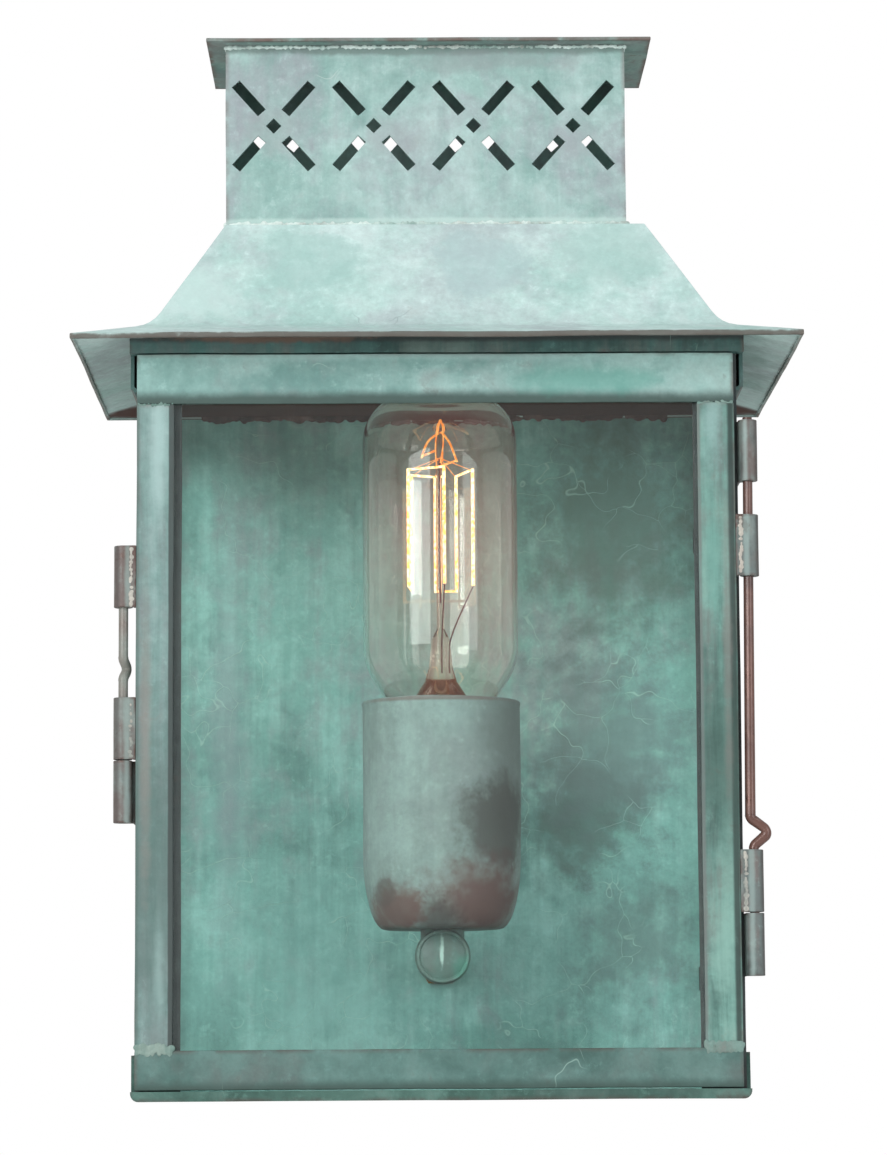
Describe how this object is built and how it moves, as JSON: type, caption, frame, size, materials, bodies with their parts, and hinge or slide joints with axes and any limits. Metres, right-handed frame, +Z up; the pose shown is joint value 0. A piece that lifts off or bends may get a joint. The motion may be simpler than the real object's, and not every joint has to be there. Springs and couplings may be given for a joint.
{
  "type": "wall lantern",
  "caption": "Wall lantern of folded sheet brass with a hinged glazed door, hipped roof, vented chimney and a clear filament bulb in a cup.",
  "frame": {"origin": "on the wall plane, in the middle of the back plate's rear face", "axes": "+Y into the wall, +X to the viewer's right, +Z up"},
  "size_m": [0.198, 0.139, 0.3006],
  "materials": {
    "verdigris": "weathered verdigris, matt",
    "verdigris_pale": "pale chalky verdigris, matt",
    "verdigris_deep": "dark verdigris, matt",
    "cup_patina": "grey verdigris with brown patches",
    "knuckle_patina": "grey-brown oxide with solder",
    "copper_rod": "brown oxide, satin",
    "latch_rod": "grey-green oxide, satin",
    "plain_brass": "dull brass",
    "bulb_metal": "plated, satin",
    "pane_glass": "clear",
    "bulb_glass": "clear blown",
    "white_ceramic": "unglazed, white",
    "black_ceramic": "black, glassy",
    "bush_rubber": "black rubber",
    "hook_wire": "fine drawn wire",
    "hot_filament": "glowing filament"
  },
  "bodies": {
    "housing": {"back_plate": "verdigris", "front_post_left": "verdigris", "front_post_right": "verdigris", "top_collar": "verdigris", "bottom_tray": "verdigris_deep", "roof": "verdigris_pale", "chimney": "verdigris_pale", "chimney_cap": "verdigris_pale", "side_glass_left": "pane_glass", "side_glass_right": "pane_glass", "side_glass_clips": "verdigris_deep", "hinge_knuckle_top": "knuckle_patina", "hinge_knuckle_bottom": "knuckle_patina", "latch_keeper": "knuckle_patina", "holder_arm": "cup_patina", "arm_nut": "plain_brass", "holder_tube": "plain_brass", "holder_nut": "plain_brass", "holder_cup": "cup_patina", "cable_bush": "bush_rubber", "lampholder": "white_ceramic", "lampholder_shell": "plain_brass", "lampholder_contact": "plain_brass", "earth_terminal": "plain_brass", "bulb_glass": "bulb_glass", "bulb_cap": "bulb_metal", "bulb_insulator": "black_ceramic", "bulb_contact": "bulb_metal", "bulb_stem": "bulb_glass", "filament": "hot_filament", "filament_hooks": "hook_wire", "lead_wires": "hook_wire"},
    "door": {"door_top_rail": "verdigris", "door_bottom_rail": "verdigris_deep", "door_left_stile": "verdigris", "door_right_stile": "verdigris", "door_glass": "pane_glass", "door_glass_clips": "verdigris_deep", "door_hinge_upper": "knuckle_patina", "door_hinge_lower": "knuckle_patina", "door_latch_upper": "knuckle_patina", "door_latch_lower": "knuckle_patina"},
    "hinge_rod": {"hinge_pin": "copper_rod"},
    "latch_rod": {"latch_pin": "latch_rod"}
  },
  "joints": [
    {"name": "door_swing", "type": "hinge", "parent": "housing", "child": "door", "pos_m": [0.0849, -0.1194, 0], "axis": [0, 0, 1], "range_deg": [0, 110]},
    {"name": "hinge_rod_lift", "type": "slide", "parent": "housing", "child": "hinge_rod", "axis": [0, 0, 1], "range_m": [0, 0.0072]},
    {"name": "latch_rod_lift", "type": "slide", "parent": "door", "child": "latch_rod", "axis": [0, 0, 1], "range_m": [-0.0045, 0.013]}
  ]
}
